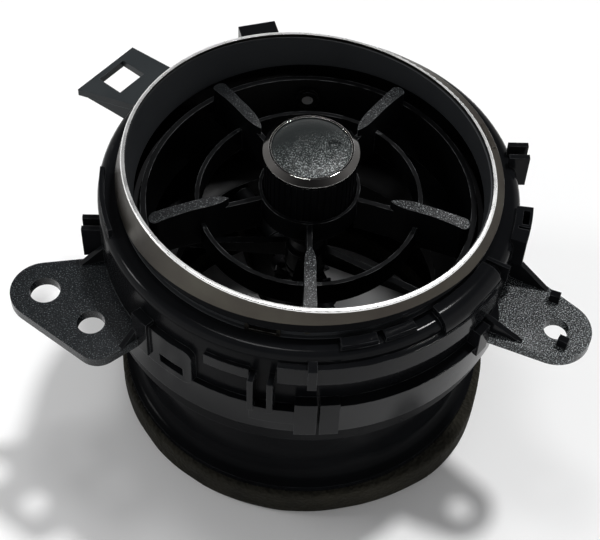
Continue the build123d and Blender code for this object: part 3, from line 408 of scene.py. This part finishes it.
def on_crest(centre, normal):
    """The top of the silver ring and its rounded edge, painted near white as a highlight line.
    """
    return (CREST_HEIGHT - centre.dot(CREST_SLOPE) < CREST_DEPTH
            and normal.z > CREST_NORMAL and radius(centre) < CREST_R)


def below_paint(centre, normal):
    """The foot of the ring, where the silver paint thins out."""
    return centre.dot(PAINT_SLOPE) < PAINT_HEIGHT and centre.z > RING_FOOT


# The housing: its wall, the barrel and the bands round it, the brackets and the tab
BODY_R = 52.4
BODY_DEPTH = 0.4
BARREL_R = 54.0
BAND_R = 56.0
BRACKET_Z = (56.1, 59.1)
TAB_Z = 58.0
TAB_Y = 20.0


def on_bracket(centre, normal):
    """The plates of the two brackets, clear of the barrel and its bands."""
    clear = BARREL_R if abs(normal.z) > LEVEL_NORMAL else BAND_R
    return BRACKET_Z[0] < centre.z < BRACKET_Z[1] and radius(centre) > clear and centre.y < 0


def on_left_bracket(centre, normal):
    return on_bracket(centre, normal) and centre.x < 0


def on_right_bracket(centre, normal):
    return on_bracket(centre, normal) and centre.x > 0


def on_tab(centre, normal):
    """The upper left tab with its wall."""
    return (centre.z > TAB_Z and radius(centre) > BARREL_R
            and centre.x < 0 and centre.y > TAB_Y)


def on_painted_shade_wall(centre, normal):
    """The barrel's wall at the front, which gets a darker, duller copy of the gloss as painted
    shade under the bands that stand on it.
    """
    return (abs(radius(centre) - BODY_R) < BODY_DEPTH
            and abs(normal.z) < UPRIGHT_NORMAL and centre.y < 0)


SPOKE_INNER_R = 20.9
SPOKE_HALF_WIDTH = 2.8
SPOKE_STEP = 72
SPOKE_ANGLE = -90
SPOKE_Z = 70.0
SPOKE_NORMAL = 0.5


def on_spoke(centre, normal):
    """The leaf spokes' front faces, outside the hub."""
    angle = math.degrees(math.atan2(centre.y, centre.x)) - SPOKE_ANGLE
    aside = (angle + SPOKE_STEP / 2) % SPOKE_STEP - SPOKE_STEP / 2
    across = radius(centre) * abs(math.sin(math.radians(aside)))
    return (radius(centre) > SPOKE_INNER_R and centre.z > SPOKE_Z
            and normal.z > SPOKE_NORMAL and across < SPOKE_HALF_WIDTH)


# Painted shade on the housing's wall; painted highlights on the crest, the brackets and the
# spokes
PATCHES = {
    "bezel_ring": ((crest_painted_highlight, on_crest), (painted_shade_and_foot_black, below_paint)),
    "front_housing": (
        (painted_shade_and_foot_black, on_painted_shade_wall), (tab_satin, on_tab),
        (left_grain_dim_painted_glints, on_left_bracket), (right_grain_bright_painted_glints, on_right_bracket)),
    "nozzle_grille": ((spoke_grain_painted_glints, on_spoke),),
}

# Planes that split a piece's faces, so that a patch ends in a clean line
CUTS = {
    "bezel_ring": (Vector((0, 0, PAINT_HEIGHT)), PAINT_SLOPE),
}


# Pieces

WELD = 0.002 * MM
SHARP_ANGLE = 32


def add_object(name, data):
    piece = bpy.data.objects.new(name, data)
    bpy.context.scene.collection.objects.link(piece)
    return piece


def shade_smooth(bm, sharp_angle):
    """Smooth shading, broken where two faces meet at more than the angle."""
    limit = math.radians(sharp_angle)
    for face in bm.faces:
        face.smooth = True
    for edge in bm.edges:
        edge.smooth = len(edge.link_faces) == 2 and edge.calc_face_angle(0) < limit


def paint_patches(bm, patches):
    """Gives the faces of each patch its slot; the last patch that holds a face wins."""
    for face in bm.faces:
        face.material_index = 0
        centre = face.calc_center_median() / MM
        for slot, (_, inside) in enumerate(patches, start=1):
            if inside(centre, face.normal):
                face.material_index = slot


def refine(name):
    """The node's own form in its place, welded, shaded smoothly and with its finishes."""
    node = nodes[name]
    patches = PATCHES.get(name, ())
    mesh = node.data.copy()
    piece = add_object(name + "_finish", mesh)
    mesh.materials.clear()
    mesh.materials.append(FINISH[name])
    for mat, _ in patches:
        mesh.materials.append(mat)
    bm = bmesh.new()
    bm.from_mesh(mesh)
    bmesh.ops.remove_doubles(bm, verts=bm.verts, dist=WELD)
    if name in CUTS:
        point, across = CUTS[name]
        bmesh.ops.bisect_plane(
            bm, geom=bm.verts[:] + bm.edges[:] + bm.faces[:], plane_co=point * MM,
            plane_no=across)
    paint_patches(bm, patches)
    shade_smooth(bm, SHARP_ANGLE)
    bm.to_mesh(mesh)
    bm.free()
    # Stored normals would override the smooth shading
    if mesh.attributes.get("custom_normal"):
        mesh.attributes.remove(mesh.attributes["custom_normal"])
    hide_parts(name)
    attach(piece, node["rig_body"])


FOAM_INNER_R = 41.0
FOAM_SIDES = 288
FOAM_BULGE = 1.8
FOAM_BULGE_AT = -42
FOAM_BULGE_SPREAD = 20
FOAM_LEAN = 0.3
FOAM_UNEVEN = 0.2
FOAM_WAVES_AROUND = 6
FOAM_WAVE_HEIGHT = 3
FOAM_SHARP_ANGLE = 50
# The outer side from the floor up: share of the foam's height, mm above it, inset in mm
FOAM_SECTION = (
    (0, 0, 0.81), (0, 0.27, 0.225), (0, 0.9, 0), (0.35, 0, 0.05),
    (0.65, 0, 0.05), (1, -0.9, 0), (1, -0.27, 0.27), (1, 0, 0.99),
)


def box_mm(name):
    low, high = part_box(name)
    return Vector(low) / MM, Vector(high) / MM


def foam_radius(angle, height, base):
    """The foam's outer radius: pressed out at the front right and a little uneven."""
    off = (angle - FOAM_BULGE_AT + 180) % 360 - 180
    bulge = FOAM_BULGE * math.exp(-(off / FOAM_BULGE_SPREAD) ** 2)
    lean = FOAM_LEAN * (math.cos(math.radians(off)) - 1)
    a = math.radians(angle)
    place = Vector((FOAM_WAVES_AROUND * math.cos(a), FOAM_WAVES_AROUND * math.sin(a),
                    height / FOAM_WAVE_HEIGHT))
    return base + bulge + lean + FOAM_UNEVEN * noise.noise(place)


def foam_rows(angle, outer, top):
    """One section of the foam ring at an angle, as points in metres."""
    profile = []
    for share, above, inset in FOAM_SECTION:
        height = share * top + above
        profile.append((foam_radius(angle, height, outer) - inset, height))
    profile += [(FOAM_INNER_R, top), (FOAM_INNER_R, 0)]
    a = math.radians(angle)
    return [(r * math.cos(a) * MM, r * math.sin(a) * MM, height * MM)
            for r, height in profile]


def build_foam():
    """The foam seal's own ring, with soft corners and an uneven, pressed outline."""
    high = box_mm("foam_seal")[1]
    verts = []
    for side in range(FOAM_SIDES):
        verts += foam_rows(side * 360 / FOAM_SIDES, outer=high.x, top=high.z)
    rows = len(verts) // FOAM_SIDES
    faces = []
    for side in range(FOAM_SIDES):
        here = side * rows
        there = (side + 1) % FOAM_SIDES * rows
        for row in range(rows):
            after = (row + 1) % rows
            faces.append((here + row, there + row, there + after, here + after))
    mesh = bpy.data.meshes.new("foam_seal_finish")
    mesh.from_pydata(verts, [], faces)
    mesh.materials.append(FINISH["foam_seal"])
    bm = bmesh.new()
    bm.from_mesh(mesh)
    bmesh.ops.recalc_face_normals(bm, faces=bm.faces)
    shade_smooth(bm, FOAM_SHARP_ANGLE)
    bm.to_mesh(mesh)
    bm.free()
    piece = add_object("foam_seal_finish", mesh)
    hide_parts("foam_seal")
    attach(piece, nodes["foam_seal"]["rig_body"])


for name in sorted(nodes):
    if name != "foam_seal":
        refine(name)
build_foam()


# Camera, floor and light

scene = bpy.context.scene

# The camera fitted to the photograph; sensor and lens in mm, clipping in metres
SENSOR_WIDTH = 36
LENS = 90
CLIP = (0.01, 20)
CAMERA_RIGHT = Vector((0.99954, 0, 0.03046))
CAMERA_UP = Vector((-0.01844, 0.79605, 0.60495))
CAMERA_BACK = Vector((-0.02425, -0.60523, 0.79568))
CAMERA_AT = Vector((-10.99, -241.97, 358.15)) * MM

# Floor and lamps in metres
FLOOR_HALF = 3
FLOOR_COLOUR = (0.93, 0.93, 0.93)
FLOOR_ROUGH = 0.9

LAMP_TARGET = Vector((0, 0, 0.05))

HORIZON_COLOUR = (0.95, 0.95, 0.95)
ZENITH_COLOUR = (0.08, 0.08, 0.084)
SKY_LEVELS = (0.40, 0.70)


def build_camera():
    """A camera at the photograph's viewing angle."""
    camera = add_object("camera", bpy.data.cameras.new("camera"))
    scene.camera = camera
    camera.data.sensor_width = SENSOR_WIDTH
    camera.data.lens = LENS
    camera.data.clip_start, camera.data.clip_end = CLIP
    view = Matrix((CAMERA_RIGHT, CAMERA_UP, CAMERA_BACK)).transposed().to_4x4()
    view.translation = CAMERA_AT
    camera.matrix_world = view


def build_floor(half, colour):
    """A plain pale floor."""
    mesh = bpy.data.meshes.new("floor")
    mesh.from_pydata(
        [(-half, -half, 0), (half, -half, 0), (half, half, 0), (-half, half, 0)],
        [], [(0, 1, 2, 3)])
    piece = add_object("floor", mesh)
    mat, _, shader = new_material("floor")
    shader.inputs["Base Color"].default_value = (*colour, 1)
    shader.inputs["Roughness"].default_value = FLOOR_ROUGH
    shader.inputs["Specular IOR Level"].default_value = 0.0
    mesh.materials.append(mat)


def build_world(horizon, zenith, levels):
    """A studio that is pale near the horizon and darker overhead."""
    world = bpy.data.worlds.new("studio")
    world.use_nodes = True
    scene.world = world
    tree = world.node_tree
    coord = tree.nodes.new("ShaderNodeTexCoord")
    split = tree.nodes.new("ShaderNodeSeparateXYZ")
    tree.links.new(coord.outputs["Generated"], split.inputs["Vector"])
    height = spread(tree, split.outputs["Z"], 0, 1, levels=levels)
    tree.links.new(mix_colour(tree, height, horizon, zenith),
                   tree.nodes["Background"].inputs["Color"])


def add_sun(name, towards, strength, degrees):
    """A soft lamp far away, so that the whole floor is lit alike."""
    light = add_object(name, bpy.data.lights.new(name, "SUN"))
    light.data.energy = strength
    light.data.angle = math.radians(degrees)
    light.rotation_euler = (-Vector(towards)).to_track_quat("-Z", "Y").to_euler()


def add_area(name, at, size, power):
    """A square lamp that looks at the object's middle; place and size in metres."""
    light = add_object(name, bpy.data.lights.new(name, "AREA"))
    light.data.shape = "SQUARE"
    light.data.size = size
    light.data.energy = power
    light.location = at
    light.rotation_euler = (LAMP_TARGET - Vector(at)).to_track_quat("-Z", "Y").to_euler()


build_camera()
build_floor(FLOOR_HALF, FLOOR_COLOUR)
build_world(HORIZON_COLOUR, ZENITH_COLOUR, SKY_LEVELS)
add_sun("key", towards=(0.29, 0.29, 0.92), strength=1.9, degrees=6)
add_area("left", at=(-0.75, 0.10, 0.70), size=0.16, power=1.6)
add_area("top", at=(-0.10, 0.20, 1.05), size=0.20, power=1.6)

scene.view_settings.view_transform = "Standard"
